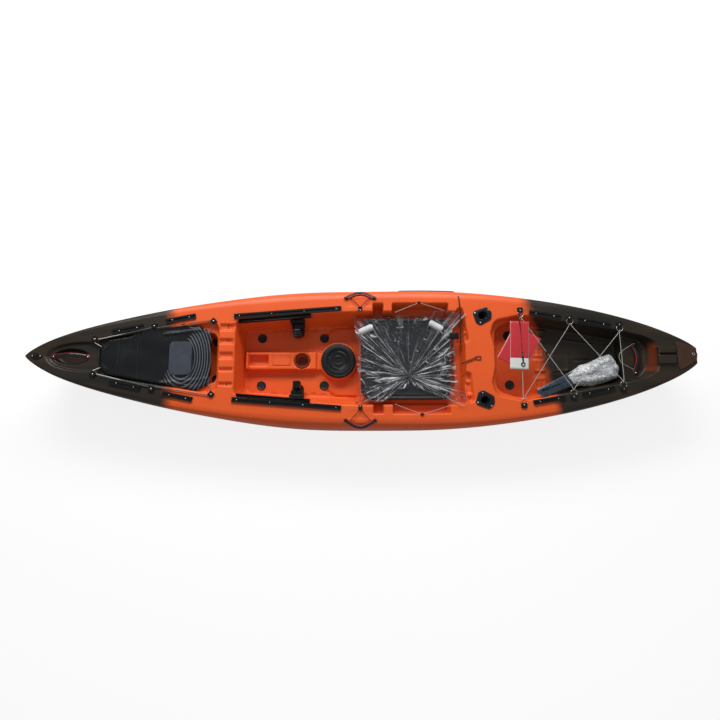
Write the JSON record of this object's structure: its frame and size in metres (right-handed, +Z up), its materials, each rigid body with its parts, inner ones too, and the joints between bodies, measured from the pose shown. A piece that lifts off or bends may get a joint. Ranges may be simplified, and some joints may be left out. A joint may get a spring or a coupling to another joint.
{
  "type": "sit-on-top fishing kayak",
  "caption": "Sit-on-top fishing kayak with a folding seat, covered bow well, sliding foot braces, rod holders, gear tracks and a rudder stowed in the stern tank well.",
  "frame": {"origin": "on the ground under the middle of the hull", "axes": "+X towards the stern, +Y to starboard, +Z up"},
  "size_m": [3.96, 0.875, 0.3919],
  "materials": {
    "black_aluminium": "satin",
    "black_nylon": "satin",
    "black_rubber": "matte",
    "brown_polyethylene": "satin",
    "blade_coating": "satin",
    "grey_mesh_fabric": "matte",
    "grey_shock_cord": "matte",
    "orange_polyethylene": "satin",
    "steel": "satin"
  },
  "bodies": {
    "kayak": {"bow_carry_handle": "black_rubber", "bow_pad_eye": "black_nylon", "bow_track_aft_port": "black_nylon", "bow_track_aft_starboard": "black_nylon", "bow_track_fore_port": "black_nylon", "bow_track_fore_starboard": "black_nylon", "console_plate": "orange_polyethylene", "cover_bungee": "grey_shock_cord", "cover_hook_aft_port": "black_nylon", "cover_hook_aft_starboard": "black_nylon", "cover_hook_fore_port": "black_nylon", "cover_hook_fore_starboard": "black_nylon", "cover_hook_mid_port": "black_nylon", "cover_hook_mid_starboard": "black_nylon", "foot_rail_port": "black_aluminium", "foot_rail_starboard": "black_aluminium", "gear_track_port": "black_nylon", "gear_track_starboard": "black_nylon", "hatch_ring": "black_nylon", "hull": "orange_polyethylene", "rod_holder_port": "black_nylon", "rod_holder_starboard": "black_nylon", "scupper_plug_foot_aft_port": "black_rubber", "scupper_plug_foot_aft_starboard": "black_rubber", "scupper_plug_foot_fore_port": "black_rubber", "scupper_plug_foot_fore_starboard": "black_rubber", "scupper_plug_tank_port": "black_rubber", "scupper_plug_tank_starboard": "black_rubber", "side_handle_pad_port": "black_nylon", "side_handle_pad_starboard": "black_nylon", "stern_carry_handle": "black_rubber", "stern_plate": "brown_polyethylene", "stern_track_aft_port": "black_nylon", "stern_track_aft_starboard": "black_nylon", "stern_track_fore_port": "black_nylon", "stern_track_fore_starboard": "black_nylon", "tank_bungee": "grey_shock_cord", "tank_eye_aft_port": "black_nylon", "tank_eye_aft_starboard": "black_nylon", "tank_eye_fore_port": "black_nylon", "tank_eye_fore_starboard": "black_nylon", "tank_eye_mid_port": "black_nylon", "tank_eye_mid_starboard": "black_nylon"},
    "cover": {"front_well_cover": "black_rubber"},
    "seal": {"hatch_seal": "black_rubber"},
    "lid": {"hatch_lid": "black_nylon"},
    "seat": {"seat_base_frame": "black_aluminium", "seat_base_sling": "grey_mesh_fabric", "seat_hinge_bolt_port": "steel", "seat_hinge_bolt_starboard": "steel"},
    "seat_back": {"seat_back_frame": "black_aluminium", "seat_back_sling": "grey_mesh_fabric"},
    "rudder": {"rudder_head": "black_nylon"},
    "blade": {"rudder_blade": "blade_coating"},
    "carriage_starboard": {"foot_carriage_starboard": "black_nylon"},
    "pedal_starboard": {"toe_pedal_starboard": "black_nylon"},
    "handle_starboard": {"side_handle_grip_starboard": "black_rubber"},
    "carriage_port": {"foot_carriage_port": "black_nylon"},
    "pedal_port": {"toe_pedal_port": "black_nylon"},
    "handle_port": {"side_handle_grip_port": "black_rubber"}
  },
  "joints": [
    {"name": "cover_fold", "type": "hinge", "parent": "kayak", "child": "cover", "pos_m": [-1.541, 0, 0.34492], "axis": [0, -1, 0], "range_deg": [0, 100]},
    {"name": "hatch_lift", "type": "slide", "parent": "kayak", "child": "seal", "axis": [0, 0, 1], "range_m": [0, 0.12]},
    {"name": "hatch_turn", "type": "hinge", "parent": "seal", "child": "lid", "pos_m": [-0.141, 0, 0.1566], "axis": [0, 0, 1], "range_deg": [0, 90]},
    {"name": "seat_lift", "type": "slide", "parent": "kayak", "child": "seat", "axis": [0, 0, 1], "range_m": [0, 0.3]},
    {"name": "seat_back_fold", "type": "hinge", "parent": "seat", "child": "seat_back", "pos_m": [0.54, 0, 0.2163], "axis": [0, 1, 0], "range_deg": [0, 105]},
    {"name": "foot_brace_starboard", "type": "slide", "parent": "kayak", "child": "carriage_starboard", "axis": [0.9969, 0.0783, 0], "range_m": [-0.28, 0.02]},
    {"name": "toe_tilt_starboard", "type": "hinge", "parent": "carriage_starboard", "child": "pedal_starboard", "pos_m": [-0.38295, 0.16417, 0.212], "axis": [-0.0783, 0.9969, 0], "range_deg": [-20, 20]},
    {"name": "handle_swing_starboard", "type": "hinge", "parent": "kayak", "child": "handle_starboard", "pos_m": [-0.004, 0.31, 0.3046], "axis": [1, 0, 0], "range_deg": [0, 100]},
    {"name": "foot_brace_port", "type": "slide", "parent": "kayak", "child": "carriage_port", "axis": [0.9969, -0.0783, 0], "range_m": [-0.28, 0.02]},
    {"name": "toe_tilt_port", "type": "hinge", "parent": "carriage_port", "child": "pedal_port", "pos_m": [-0.38295, -0.16417, 0.212], "axis": [0.0783, 0.9969, 0], "range_deg": [-20, 20]},
    {"name": "handle_swing_port", "type": "hinge", "parent": "kayak", "child": "handle_port", "pos_m": [-0.004, -0.31, 0.3046], "axis": [-1, 0, 0], "range_deg": [0, 100]},
    {"name": "rudder_lift", "type": "slide", "parent": "kayak", "child": "rudder", "axis": [0, 0, 1], "range_m": [0, 0.25], "deforming": ["tank_bungee"]},
    {"name": "blade_turn", "type": "hinge", "parent": "rudder", "child": "blade", "pos_m": [1.46, -0.02, 0.2122], "axis": [0.1418, 0.0661, 0.9877], "range_deg": [-40, 0]}
  ]
}
